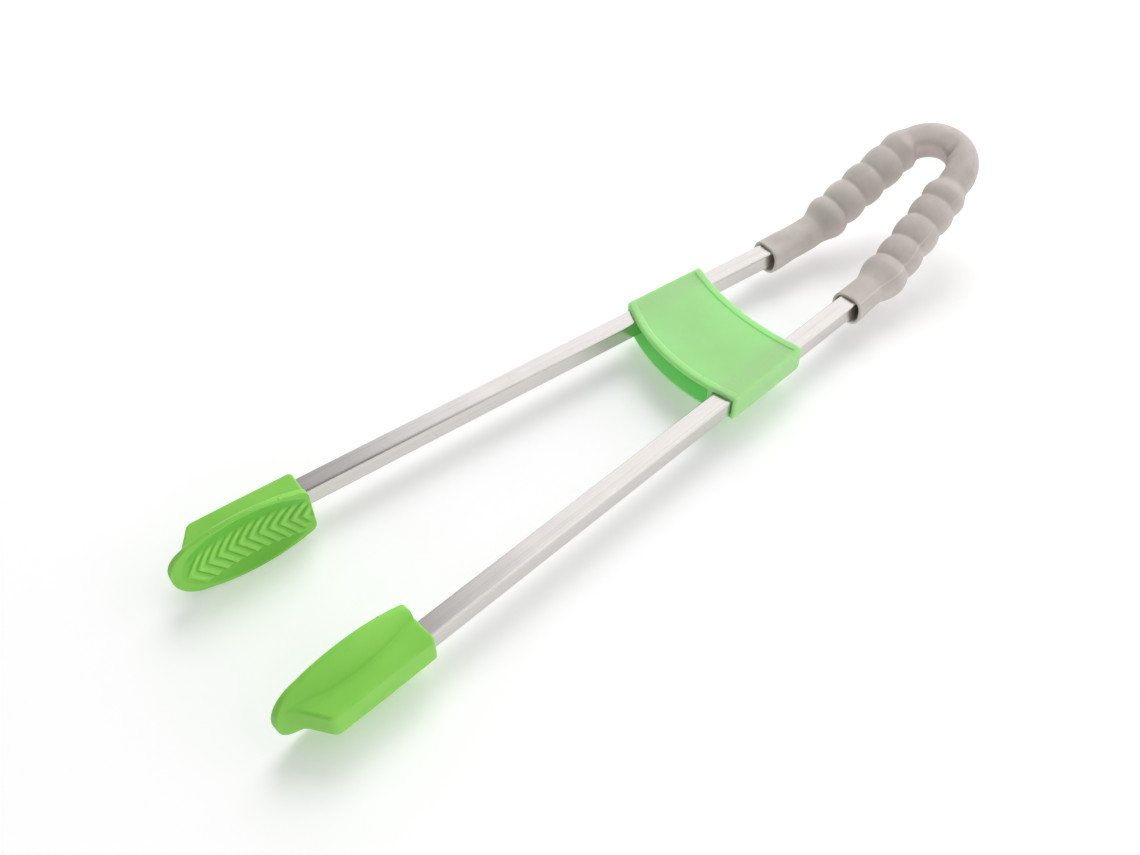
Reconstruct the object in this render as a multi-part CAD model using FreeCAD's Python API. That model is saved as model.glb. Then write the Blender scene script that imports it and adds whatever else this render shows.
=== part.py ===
import FreeCAD, Part
import math
import os

# Kitchen tongs: two straight aluminium arms in a V, joined at the back by a sprung U-bend.
# Frame: +Z up, +Y towards the handle, the jaws at -Y, origin at the bottom centre of the object.
# Every piece is first drawn about the point where the two arms' centrelines would meet.
# The right arm is on +X; the left side is its mirror image in the YZ plane.

V = FreeCAD.Vector
UP = V(0, 0, 1)
NOWHERE = V(0, 0, 0)

# Arms: rounded rectangular aluminium tube. Distances along an arm run from the meeting point.
HALF_ANGLE = 3.97          # degrees between each arm and the centreline
ARM_WIDTH = 9.0
ARM_HEIGHT = 9.5
ARM_CORNER = 1.2
ARM_WALL = 1.0
ARM_TIP = 681.0            # front end of the tube, inside the head
FOLD = 347.5               # where the handle turns up out of the arms' plane
TURN = 26.8                # degrees by which each leg of the handle turns up
LEAN = 4.9                 # degrees by which the turning plane leans towards the other leg
FOLD_RADIUS = 20.0
BEND_RADIUS = 17.8         # centreline radius of the U-bend
ARM_REAR_SETBACK = 6.0     # from the tube's rear end to the start of the U-bend

# Spring: flat steel strip bent in a U, its legs inside the tubes and held by two rivets a side.
STRIP_WIDTH = 6.4
STRIP_THICKNESS = 0.8
STRIP_LEG_IN_TUBE = 30.0
RIVET_RADIUS = 1.4
RIVET_HOLE_RADIUS = 1.45
STRIP_HOLE_RADIUS = 1.65
RIVET_HEAD_RADIUS = 2.3
RIVET_HEAD_HEIGHT = 0.8
RIVET_HEAD_ROUND = 0.5
RIVETS_FROM_TUBE_END = (8.0, 20.0)

# Sleeve: soft grip pulled over the handle from mouth to mouth, with a train of bulges on each leg.
MOUTH = 379.5
SLEEVE_RADIUS = 8.2
MOUTH_BORE_RADIUS = 7.1
SNUG_BORE_RADIUS = 6.4
BEND_BORE_RADIUS = 6.4
BULGE_COUNT = 5
BULGE_PITCH = 13.3
BULGE_RADIUS = 11.0
FIRST_BULGE_RADIUS = 11.6
VALLEY_RADIUS = 9.2
BULGE_TRAIN_STARTS = {"right": -6.8, "left": 3.6}   # from the fold, along the handle
SECTION_GAP = 0.3          # between the sleeve's sections, which ride on different arms

# Slider: flat hollow box with curved ends. It rides on the right arm and locks the arms.
SLIDER_HALF_HEIGHT = 6.5
SLIDER_PLATE = 1.4
SLIDER_LEFT_INNER = 6.2    # wall faces, measured sideways from each arm's centreline
SLIDER_RIGHT_INNER = 5.1
SLIDER_WALL = 1.6
SLIDER_REAR_RADIUS = 122.0
SLIDER_FRONT_RADIUS = 98.0
SLIDER_END_CENTRE_X = 9.0
SLIDER_REAR = 425.0        # furthest point of each curved end, in front of the meeting point
SLIDER_FRONT = 474.3
SLIDER_EDGE_ROUND = 1.2
BLANK_REAR = 400.0         # span of the block that the slider is cut from
BLANK_FRONT = 500.0
RIB_GAP = 0.5
RIB_THICKNESS = 2.4
RIM_HEIGHT = 0.5
FRONT_RIM_WIDTH = 3.0
REAR_RIM_WIDTH = 4.0
RIM_END_SETBACK = 2.0

# Heads: silicone socket round the arm's end with a tall spoon-shaped gripping leaf on its inner side.
HEAD_REAR = 640.0
SOCKET_OUTER = 7.4
SOCKET_HALF_HEIGHT = 6.3
SOCKET_EDGE_ROUND = 1.2
SOCKET_SIDE_END = 684.6
SOCKET_FRONT_OUTER = (686.0, 6.2)   # distance along the arm, and how far outside its centreline
SOCKET_FRONT_INNER = (692.4, -4.0)
LEAF_RIM = 10.3            # plane of the leaf's rim, inwards of the arm's centreline
LEAF_TIP = 700.0
LEAF_MIDDLE = 667.0
LEAF_HALF_HEIGHT = 17.0
LEAF_DROP = 0.8            # from the arm's centreline down to the leaf's
LEAF_REAR_HALF_HEIGHT = 11.4
LEAF_TIP_BLEND = (688.0, 14.0)      # point where the leaf's edge turns into its round tip
LEAF_REAR_ROUND = 2.5
LEAF_BACK_DEPTH = 9.8      # from the rim plane to the back of the spoon
LEAF_FACE_DEPTH = 4.5      # from the rim plane to the bottom of the spoon
BACK_RADIUS_ACROSS = 21.5
BACK_RADIUS_ALONG = 93.0
FACE_RADIUS_ACROSS = 31.0
FACE_RADIUS_ALONG = 89.0
SOCKET_BEHIND_FACE = 0.4   # the socket's inner side starts this far behind the spoon's bottom

CUTTER_SIZE = 60.0

ANGLE = math.radians(HALF_ANGLE)
TURN_ANGLE = math.radians(TURN)
LEAN_ANGLE = math.radians(LEAN)
FOLD_TANGENT = FOLD_RADIUS * math.tan(TURN_ANGLE / 2)
LEG_DIRECTION = V(-math.cos(TURN_ANGLE), -math.sin(TURN_ANGLE) * math.sin(LEAN_ANGLE),
                  math.sin(TURN_ANGLE) * math.cos(LEAN_ANGLE))
ACROSS_LEG = V(0, math.cos(LEAN_ANGLE), math.sin(LEAN_ANGLE))
# Way out of the tube's side on the leg.
TUBE_SIDE = FreeCAD.Rotation(ACROSS_LEG, TURN).multVec(V(0, 1, 0))


def turned(vector):
    """A direction or point drawn along +X, as it lies on the right arm."""
    return FreeCAD.Rotation(UP, HALF_ANGLE - 90).multVec(vector)


# The two legs of the handle and the U-bend lie in one sloping plane.
LEG_ON_ARM = turned(LEG_DIRECTION)
FOLD_ON_ARM = turned(V(FOLD, 0, 0))
BEND_HALF_ANGLE = math.asin(-LEG_ON_ARM.x)
SLOPE_DIRECTION = V(0, LEG_ON_ARM.y, LEG_ON_ARM.z).normalize()
SLOPE_NORMAL = V(1, 0, 0).cross(SLOPE_DIRECTION)
LEGS_MEET = FOLD_ON_ARM.x / -LEG_ON_ARM.x
LEG_LENGTH = LEGS_MEET - BEND_RADIUS / math.tan(BEND_HALF_ANGLE)
LEGS_MEET_TO_BEND = BEND_RADIUS / math.sin(BEND_HALF_ANGLE)
BEND_CENTRE = FOLD_ON_ARM + LEG_ON_ARM * LEGS_MEET - SLOPE_DIRECTION * LEGS_MEET_TO_BEND
ARM_REAR = LEG_LENGTH - ARM_REAR_SETBACK

REARMOST = BEND_CENTRE.y + BEND_RADIUS * SLOPE_DIRECTION.y + SLEEVE_RADIUS
FOREMOST = -LEAF_TIP * math.cos(ANGLE) - LEAF_RIM * math.sin(ANGLE)


def place(shape, side):
    """Turn a piece drawn along +X into the right arm's place, or into its mirror image."""
    placed = shape.copy()
    placed.rotate(NOWHERE, UP, HALF_ANGLE - 90)
    if side == "left":
        placed = placed.mirror(NOWHERE, V(1, 0, 0))
    return placed


def polygon_prism(points, bottom, top):
    """Upright prism over a closed outline of (x, y) points."""
    corners = [V(x, y, bottom) for x, y in points]
    return Part.Face(Part.makePolygon(corners + corners[:1])).extrude(V(0, 0, top - bottom))


def rounded_rectangle(half_width, half_height, corner):
    """Face in the YZ plane with rounded corners."""
    block = Part.makeBox(1, 2 * half_width, 2 * half_height, V(0, -half_width, -half_height))
    long_edges = [e for e in block.Edges if abs(e.tangentAt(e.FirstParameter).x) > 0.9]
    rounded = block.makeFillet(corner, long_edges)
    return min(rounded.Faces, key=lambda face: face.CenterOfMass.x)


def disc(radius):
    """Round face in the YZ plane."""
    return Part.Face(Part.Wire(Part.makeCircle(radius, NOWHERE, V(1, 0, 0))))


def follow_leg(face, front, leg_end):
    """Solid that a face sweeps along an arm, up the fold and along the sloping leg."""
    start = face.copy()
    start.translate(V(front, 0, 0))
    straight = start.extrude(V(FOLD + FOLD_TANGENT - front, 0, 0))
    at_fold = face.copy()
    at_fold.translate(V(FOLD + FOLD_TANGENT, 0, 0))
    rise = V(0, -math.sin(LEAN_ANGLE), math.cos(LEAN_ANGLE))
    fold_axis = V(FOLD + FOLD_TANGENT, 0, 0) + rise * FOLD_RADIUS
    fold = at_fold.revolve(fold_axis, ACROSS_LEG, TURN)
    after_fold = at_fold.copy()
    after_fold.rotate(fold_axis, ACROSS_LEG, TURN)
    leg = after_fold.extrude(LEG_DIRECTION * (leg_end - FOLD_TANGENT))
    return straight.fuse([fold, leg]).removeSplitter()


def on_leg(distance):
    """Point on the leg's centreline at a distance from the fold's corner."""
    return V(FOLD, 0, 0) + LEG_DIRECTION * distance


def rivet_places():
    """Distances of the rivets from the fold's corner."""
    return [ARM_REAR - back for back in RIVETS_FROM_TUBE_END]


def cross_pin(distance, radius, half_length):
    """Round bar through the tube's two sides at a distance from the fold's corner."""
    start = on_leg(distance) - TUBE_SIDE * half_length
    return Part.makeCylinder(radius, 2 * half_length, start, TUBE_SIDE)


def arm(side):
    """Aluminium tube from the head to just before the U-bend."""
    outside = rounded_rectangle(ARM_WIDTH / 2, ARM_HEIGHT / 2, ARM_CORNER)
    inside = rounded_rectangle(ARM_WIDTH / 2 - ARM_WALL, ARM_HEIGHT / 2 - ARM_WALL,
                               ARM_CORNER - ARM_WALL / 2)
    tube = follow_leg(outside, ARM_TIP, ARM_REAR).cut(follow_leg(inside, ARM_TIP, ARM_REAR))
    for distance in rivet_places():
        tube = tube.cut(cross_pin(distance, RIVET_HOLE_RADIUS, ARM_WIDTH))
    return place(tube, side)


def rivets(side):
    """Two domed rivets through the tube and the strip's leg."""
    pieces = []
    for distance in rivet_places():
        body = cross_pin(distance, RIVET_RADIUS, ARM_WIDTH / 2 + RIVET_HEAD_HEIGHT / 2)
        for way in (-1, 1):
            seat = on_leg(distance) + TUBE_SIDE * (way * ARM_WIDTH / 2)
            rivet_head = Part.makeCylinder(RIVET_HEAD_RADIUS, RIVET_HEAD_HEIGHT, seat, TUBE_SIDE * way)
            rim = max(rivet_head.Edges, key=lambda edge: (edge.CenterOfMass - seat).dot(TUBE_SIDE * way))
            body = body.fuse(rivet_head.makeFillet(RIVET_HEAD_ROUND, [rim]))
        pieces.append(place(body, side))
    return Part.makeCompound(pieces)


def bend_face(shape_points=None, radius=None):
    """Section of the U-bend at the right leg's end: an outline, or a disc."""
    outwards = V(math.cos(BEND_HALF_ANGLE), 0, 0) + SLOPE_DIRECTION * math.sin(BEND_HALF_ANGLE)
    middle = BEND_CENTRE + outwards * BEND_RADIUS
    if shape_points:
        corners = [middle + outwards * across + SLOPE_NORMAL * up for across, up in shape_points]
        return Part.Face(Part.makePolygon(corners + corners[:1]))
    return Part.Face(Part.Wire(Part.makeCircle(radius, middle, outwards.cross(SLOPE_NORMAL))))


def around_bend(face):
    """Solid that a section sweeps from the right leg round to the left one."""
    return face.revolve(BEND_CENTRE, SLOPE_NORMAL, 180 - 2 * math.degrees(BEND_HALF_ANGLE))


def spring_strip():
    """Flat steel strip: a U-bend with a straight leg into each tube."""
    half_thickness = STRIP_THICKNESS / 2
    half_width = STRIP_WIDTH / 2
    outline = [(-half_thickness, -half_width), (half_thickness, -half_width),
               (half_thickness, half_width), (-half_thickness, half_width)]
    section = bend_face(shape_points=outline)
    strip = around_bend(section)
    leg_way = (SLOPE_DIRECTION * -math.cos(BEND_HALF_ANGLE)) + V(math.sin(BEND_HALF_ANGLE), 0, 0)
    leg = section.extrude(leg_way * (ARM_REAR_SETBACK + STRIP_LEG_IN_TUBE))
    strip = strip.fuse([leg, leg.mirror(NOWHERE, V(1, 0, 0))]).removeSplitter()
    for side in ("right", "left"):
        for distance in rivet_places():
            strip = strip.cut(place(cross_pin(distance, STRIP_HOLE_RADIUS, ARM_WIDTH / 2), side))
    return strip


def bulge_train(side):
    """Row of round bulges along the leg, as one turned solid."""
    train_start = BULGE_TRAIN_STARTS[side]
    first = V(train_start, SLEEVE_RADIUS, 0)
    previous = first
    edges = []
    for number in range(BULGE_COUNT):
        peak_radius = FIRST_BULGE_RADIUS if number == 0 else BULGE_RADIUS
        end_radius = SLEEVE_RADIUS if number == BULGE_COUNT - 1 else VALLEY_RADIUS
        peak = V(train_start + (number + 0.5) * BULGE_PITCH, peak_radius, 0)
        valley = V(train_start + (number + 1) * BULGE_PITCH, end_radius, 0)
        edges.append(Part.Arc(previous, peak, valley).toShape())
        previous = valley
    axis_end = V(previous.x, 0, 0)
    axis_start = V(first.x, 0, 0)
    for begin, end in ((previous, axis_end), (axis_end, axis_start), (axis_start, first)):
        edges.append(Part.LineSegment(begin, end).toShape())
    train = Part.Face(Part.Wire(edges)).revolve(NOWHERE, V(1, 0, 0), 360)
    train.rotate(NOWHERE, V(0, 1, 0), 180 + TURN)
    train.rotate(NOWHERE, V(1, 0, 0), LEAN)
    train.translate(V(FOLD, 0, 0))
    return train


def beyond_leg(distance):
    """Block over everything past a distance along the leg."""
    square = Part.makePlane(2 * CUTTER_SIZE, 2 * CUTTER_SIZE, V(-CUTTER_SIZE, -CUTTER_SIZE, 0))
    square.Placement = FreeCAD.Placement(on_leg(distance), FreeCAD.Rotation(UP, LEG_DIRECTION)).multiply(
        square.Placement)
    return square.extrude(LEG_DIRECTION * CUTTER_SIZE)


def grip_sleeve(side):
    """Soft grip on one leg, from its open mouth to the start of the U-bend."""
    end = LEG_LENGTH - SECTION_GAP
    outside = follow_leg(disc(SLEEVE_RADIUS), MOUTH, end).fuse(bulge_train(side)).cut(beyond_leg(end))
    wide_bore = follow_leg(disc(MOUTH_BORE_RADIUS), MOUTH, BULGE_PITCH)
    snug_bore = Part.makeCylinder(SNUG_BORE_RADIUS, end, on_leg(0), LEG_DIRECTION)
    return place(outside.cut(wide_bore).cut(snug_bore), side)


def sleeve_bend():
    """Grip round the U-bend: plain, but for the left train's last bulge, which runs on into it."""
    last_bulge = place(bulge_train("left").common(beyond_leg(LEG_LENGTH)), "left")
    outside = around_bend(bend_face(radius=SLEEVE_RADIUS)).fuse(last_bulge)
    return outside.cut(around_bend(bend_face(radius=BEND_BORE_RADIUS)))


def end_curve(distance, radius, bottom, top):
    """Upright cylinder whose front is a curved end of the slider."""
    return Part.makeCylinder(radius, top - bottom, V(SLIDER_END_CENTRE_X, radius - distance, bottom), UP)


def between_arms(left, right, bottom, top):
    """Prism between two lines parallel to the arms, this far outside their centrelines."""
    corners = []
    for along, outside, way in ((BLANK_REAR, left, -1), (BLANK_FRONT, left, -1),
                                (BLANK_FRONT, right, 1), (BLANK_REAR, right, 1)):
        x = way * (along * math.sin(ANGLE) + outside * math.cos(ANGLE))
        y = -along * math.cos(ANGLE) + outside * math.sin(ANGLE)
        corners.append((x, y))
    return polygon_prism(corners, bottom, top)


def slider():
    """Flat box with curved open ends, a channel for the right arm and raised rims on top."""
    height = SLIDER_HALF_HEIGHT
    inner = height - SLIDER_PLATE
    left_outer = SLIDER_LEFT_INNER + SLIDER_WALL
    right_outer = SLIDER_RIGHT_INNER + SLIDER_WALL
    body = between_arms(left_outer, right_outer, -height, height)
    body = body.common(end_curve(SLIDER_FRONT, SLIDER_FRONT_RADIUS, -height, height))
    body = body.cut(end_curve(SLIDER_REAR, SLIDER_REAR_RADIUS, -height, height))
    long_edges = [e for e in body.Edges if abs(e.CenterOfMass.z) > height - 0.01
                  and e.Curve.TypeId == "Part::GeomLine"]
    body = body.makeFillet(SLIDER_EDGE_ROUND, long_edges)
    hollow = between_arms(SLIDER_LEFT_INNER, SLIDER_RIGHT_INNER, -inner, inner)
    rib_inner = -(ARM_WIDTH / 2 + RIB_GAP + RIB_THICKNESS)
    rib_outer = -(ARM_WIDTH / 2 + RIB_GAP)
    rib = between_arms(SLIDER_LEFT_INNER, rib_outer, -inner, inner)
    rib = rib.cut(between_arms(SLIDER_LEFT_INNER, rib_inner, -inner, inner))
    body = body.cut(hollow.cut(rib))
    top = height + RIM_HEIGHT
    rim_span = between_arms(left_outer - RIM_END_SETBACK, right_outer - RIM_END_SETBACK, height, top)
    rims = [(SLIDER_FRONT, SLIDER_FRONT - FRONT_RIM_WIDTH, SLIDER_FRONT_RADIUS),
            (SLIDER_REAR + REAR_RIM_WIDTH, SLIDER_REAR, SLIDER_REAR_RADIUS)]
    for front, rear, radius in rims:
        rim = rim_span.common(end_curve(front, radius, height, top))
        body = body.fuse(rim.cut(end_curve(rear, radius, height, top)))
    return body.removeSplitter()


def leaf_outline():
    """Closed edge of the spoon-shaped leaf, in distance along the arm and height."""
    rear_low = V(HEAD_REAR, 0, -LEAF_REAR_HALF_HEIGHT)
    rear_high = V(HEAD_REAR, 0, LEAF_REAR_HALF_HEIGHT)
    blend_x, blend_z = LEAF_TIP_BLEND
    top = Part.Arc(rear_high, V(LEAF_MIDDLE, 0, LEAF_HALF_HEIGHT), V(blend_x, 0, blend_z)).toShape()
    tip = Part.Arc(V(blend_x, 0, blend_z), V(LEAF_TIP, 0, 0), V(blend_x, 0, -blend_z)).toShape()
    bottom = Part.Arc(V(blend_x, 0, -blend_z), V(LEAF_MIDDLE, 0, -LEAF_HALF_HEIGHT), rear_low).toShape()
    rear = Part.LineSegment(rear_low, rear_high).toShape()
    return Part.Face(Part.Wire([top, tip, bottom, rear]))


def spoon_ring(depth, radius_along, radius_across):
    """Torus whose outer side touches the depth below the rim plane at the leaf's middle."""
    centre = V(LEAF_MIDDLE, -(LEAF_RIM - depth + radius_along), -LEAF_DROP)
    return Part.makeTorus(radius_along - radius_across, radius_across, centre, UP)


def head(side):
    """Silicone head: socket round the arm's end, with the gripping leaf on its inner side."""
    outline = leaf_outline()
    outline.translate(V(0, -LEAF_RIM, -LEAF_DROP))
    leaf = outline.extrude(V(0, LEAF_BACK_DEPTH, 0))
    rear_corners = [e for e in leaf.Edges if abs(e.CenterOfMass.x - HEAD_REAR) < 0.01
                    and abs(e.tangentAt(e.FirstParameter).y) > 0.9]
    leaf = leaf.makeFillet(LEAF_REAR_ROUND, rear_corners)
    leaf = leaf.common(spoon_ring(LEAF_BACK_DEPTH, BACK_RADIUS_ALONG, BACK_RADIUS_ACROSS))
    socket_inner = -LEAF_RIM + LEAF_FACE_DEPTH + SOCKET_BEHIND_FACE
    plan = [(HEAD_REAR, SOCKET_OUTER), (SOCKET_SIDE_END, SOCKET_OUTER), SOCKET_FRONT_OUTER,
            SOCKET_FRONT_INNER, (SOCKET_SIDE_END, socket_inner), (HEAD_REAR, socket_inner)]
    socket = polygon_prism(plan, -SOCKET_HALF_HEIGHT, SOCKET_HALF_HEIGHT)
    outer_edges = [e for e in socket.Edges if e.CenterOfMass.y > SOCKET_OUTER - 0.01
                   and abs(e.tangentAt(e.FirstParameter).x) > 0.9]
    socket = socket.makeFillet(SOCKET_EDGE_ROUND, outer_edges)
    solid = leaf.fuse(socket)
    solid = solid.cut(spoon_ring(LEAF_FACE_DEPTH, FACE_RADIUS_ALONG, FACE_RADIUS_ACROSS))
    bore = rounded_rectangle(ARM_WIDTH / 2, ARM_HEIGHT / 2, ARM_CORNER)
    bore.translate(V(HEAD_REAR, 0, 0))
    solid = solid.cut(bore.extrude(V(ARM_TIP - HEAD_REAR, 0, 0)))
    return place(solid, side)


def build():
    """All nodes by name, moved so that the origin is the bottom centre of the whole object."""
    nodes = {"spring_strip": spring_strip(), "grip_sleeve_bend": sleeve_bend(), "slider": slider()}
    for side in ("right", "left"):
        nodes["arm_" + side] = arm(side)
        nodes["rivets_" + side] = rivets(side)
        nodes["grip_sleeve_" + side] = grip_sleeve(side)
        nodes["head_" + side] = head(side)
    lowest = min(shape.optimalBoundingBox(False).ZMin for shape in nodes.values())
    to_origin = V(0, -(REARMOST + FOREMOST) / 2, -lowest)
    for shape in nodes.values():
        shape.translate(to_origin)
    print("moved by", to_origin, "so the U-bend's centre is at", BEND_CENTRE + to_origin)
    return nodes


def main():
    os.makedirs("parts", exist_ok=True)
    for name, shape in sorted(build().items()):
        shape.exportStep("parts/" + name + ".step")
        box = shape.optimalBoundingBox(False)
        print(f"{name:18s} solids {len(shape.Solids)} valid {shape.isValid()} volume {shape.Volume:9.1f} "
              f"x {box.XMin:7.2f} {box.XMax:7.2f} y {box.YMin:8.2f} {box.YMax:8.2f} "
              f"z {box.ZMin:6.2f} {box.ZMax:6.2f}")


main()
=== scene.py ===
import math

import bpy
import numpy as np
from mathutils import Matrix, Vector


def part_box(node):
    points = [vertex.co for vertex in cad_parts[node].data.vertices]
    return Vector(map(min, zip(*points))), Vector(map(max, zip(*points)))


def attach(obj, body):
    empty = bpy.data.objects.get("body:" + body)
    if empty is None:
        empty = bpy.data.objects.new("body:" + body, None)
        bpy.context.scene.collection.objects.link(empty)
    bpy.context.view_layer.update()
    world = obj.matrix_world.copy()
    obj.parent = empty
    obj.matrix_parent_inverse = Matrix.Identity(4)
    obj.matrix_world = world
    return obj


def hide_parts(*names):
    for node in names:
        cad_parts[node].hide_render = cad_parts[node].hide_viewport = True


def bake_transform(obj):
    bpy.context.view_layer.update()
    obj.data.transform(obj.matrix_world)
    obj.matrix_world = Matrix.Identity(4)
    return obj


# Looks of the kitchen tongs. All shapes are worked out in millimetres about the point where the two
# arms' centrelines meet, in the plane of the arms, and are then moved into the row frame.
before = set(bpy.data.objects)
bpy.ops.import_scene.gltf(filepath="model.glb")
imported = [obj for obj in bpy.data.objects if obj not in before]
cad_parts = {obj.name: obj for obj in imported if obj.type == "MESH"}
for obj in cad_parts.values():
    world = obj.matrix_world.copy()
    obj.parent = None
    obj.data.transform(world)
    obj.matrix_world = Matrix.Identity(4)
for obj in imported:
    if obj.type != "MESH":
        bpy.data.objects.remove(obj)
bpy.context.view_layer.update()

MM = 0.001

# Driving dimensions, the same as the design's.
HALF_ANGLE = math.radians(3.97)
ARM_HALF_WIDTH = 4.5
ARM_HALF_HEIGHT = 4.75
ARM_CORNER = 1.2
FOLD = 347.5
TURN = math.radians(26.8)
LEAN = math.radians(4.9)
FOLD_RADIUS = 20.0
BEND_RADIUS = 17.8
HEAD_REAR = 640.0
ARM_TIP = 681.0
LEAF_RIM = 10.3
LEAF_TIP = 700.0
LEAF_MIDDLE = 667.0
LEAF_DROP = 0.8
SLIDER_HALF_HEIGHT = 6.5

SIN, COS = math.sin(HALF_ANGLE), math.cos(HALF_ANGLE)
X_AXIS = np.array([1.0, 0.0, 0.0])


# ---------------------------------------------------------------- placing
head_low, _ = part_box("head_right")
slider_low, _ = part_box("slider")
TO_ROW = np.array([
    0.0,
    head_low.y / MM + LEAF_TIP * COS + LEAF_RIM * SIN,
    slider_low.z / MM + SLIDER_HALF_HEIGHT,
])


def from_arm(points, side):
    """Points (distance along the arm, outwards, up) as they lie on the right or left arm."""
    along, out, up = points[:, 0], points[:, 1], points[:, 2]
    x = along * SIN + out * COS
    y = -along * COS + out * SIN
    if side == "left":
        x = -x
    return np.stack([x, y, up], 1)


def add_object(name, vertices, faces, material, normals=None):
    """A smooth mesh object from vertices in millimetres about the arms' meeting point."""
    mesh = bpy.data.meshes.new(name)
    places = (np.asarray(vertices) + TO_ROW) * MM
    mesh.from_pydata(places.tolist(), [], np.asarray(faces).tolist())
    mesh.update()
    mesh.shade_smooth()
    if normals is not None:
        mesh.normals_split_custom_set_from_vertices(np.asarray(normals).tolist())
    obj = bpy.data.objects.new(name, mesh)
    bpy.context.scene.collection.objects.link(obj)
    obj.data.materials.append(material)
    return obj


def set_attribute(obj, name, values):
    """A number for each vertex, for the object's material to read."""
    attribute = obj.data.attributes.new(name, "FLOAT", "POINT")
    attribute.data.foreach_set("value", np.asarray(values, np.float32).ravel())


# ---------------------------------------------------------------- solids as distance fields
def smoothstep(low, high, value):
    t = np.clip((value - low) / (high - low), 0, 1)
    return t * t * (3 - 2 * t)


def both(a, b, radius=0.0):
    """Where two solids overlap, with a convex edge of that radius."""
    corner = np.hypot(np.maximum(a + radius, 0), np.maximum(b + radius, 0))
    return np.minimum(np.maximum(a, b), -radius) + corner


def either(a, b, radius=0.0):
    """Two solids joined, with a concave fillet of that radius."""
    return -both(-a, -b, radius)


def torus(along, out, up, centre_out, radius_along, radius_across):
    ring = np.hypot(along - LEAF_MIDDLE, out - centre_out) - (radius_along - radius_across)
    return np.hypot(ring, up + LEAF_DROP) - radius_across


def wrap(points, values):
    """Vertices and quads of the surface where values change sign on a grid of points."""
    inside = values < 0
    cells = tuple(n - 1 for n in values.shape)
    count = np.zeros(cells)
    total = np.zeros(cells + (3,))
    crossings = []
    for axis in range(3):
        low = [slice(None)] * 3
        high = [slice(None)] * 3
        low[axis] = slice(None, -1)
        high[axis] = slice(1, None)
        low, high = tuple(low), tuple(high)
        crossed = inside[low] != inside[high]
        step = values[low] - values[high]
        share = np.where(crossed, values[low] / np.where(crossed, step, 1), 0)
        place = points[low] + (points[high] - points[low]) * share[..., None]
        place = place * crossed[..., None]
        crossings.append((crossed, inside[low]))
        others = [a for a in range(3) if a != axis]
        for first in (0, 1):
            for second in (0, 1):
                near = [slice(None)] * 3
                near[others[0]] = slice(first, first + cells[others[0]])
                near[others[1]] = slice(second, second + cells[others[1]])
                count += crossed[tuple(near)]
                total += place[tuple(near)]
    used = count > 0
    number = -np.ones(cells, int)
    number[used] = np.arange(used.sum())
    vertices = total[used] / count[used][:, None]
    quads = []
    for axis in range(3):
        crossed, starts_inside = crossings[axis]
        first, second = [a for a in range(3) if a != axis]
        where = np.argwhere(crossed)
        limits = np.array(values.shape) - 1
        keep = (where[:, first] > 0) & (where[:, second] > 0)
        keep &= (where[:, first] < limits[first]) & (where[:, second] < limits[second])
        where = where[keep]
        around = []
        for back_first, back_second in ((1, 1), (0, 1), (0, 0), (1, 0)):
            cell = where.copy()
            cell[:, first] -= back_first
            cell[:, second] -= back_second
            around.append(number[cell[:, 0], cell[:, 1], cell[:, 2]])
        quad = np.stack(around, 1)
        turned_over = starts_inside[tuple(where.T)] ^ (axis == 1)
        quad[~turned_over] = quad[~turned_over][:, ::-1]
        quads.append(quad)
    return vertices, np.concatenate(quads)


def settle(vertices, field, rounds=4, eps=0.02):
    """Vertices drawn onto the field's surface, and the surface's normals there."""
    for _ in range(rounds):
        value, slope = field_slope(vertices, field, eps)
        square = np.maximum((slope ** 2).sum(1), 0.2)
        vertices = vertices - (value / square)[:, None] * slope
    _, slope = field_slope(vertices, field, eps)
    length = np.maximum(np.linalg.norm(slope, axis=1), 1e-6)
    return vertices, slope / length[:, None]


def field_slope(vertices, field, eps):
    x, y, z = vertices.T
    slope = np.stack([
        field(x + eps, y, z) - field(x - eps, y, z),
        field(x, y + eps, z) - field(x, y - eps, z),
        field(x, y, z + eps) - field(x, y, z - eps),
    ], 1) / (2 * eps)
    return field(x, y, z), slope


# ---------------------------------------------------------------- materials
def srgb(red, green, blue):
    """Linear colour from 0 to 255 display values."""
    def linear(value):
        value = value / 255
        return value / 12.92 if value <= 0.04045 else ((value + 0.055) / 1.055) ** 2.4
    return (linear(red), linear(green), linear(blue), 1.0)


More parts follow.
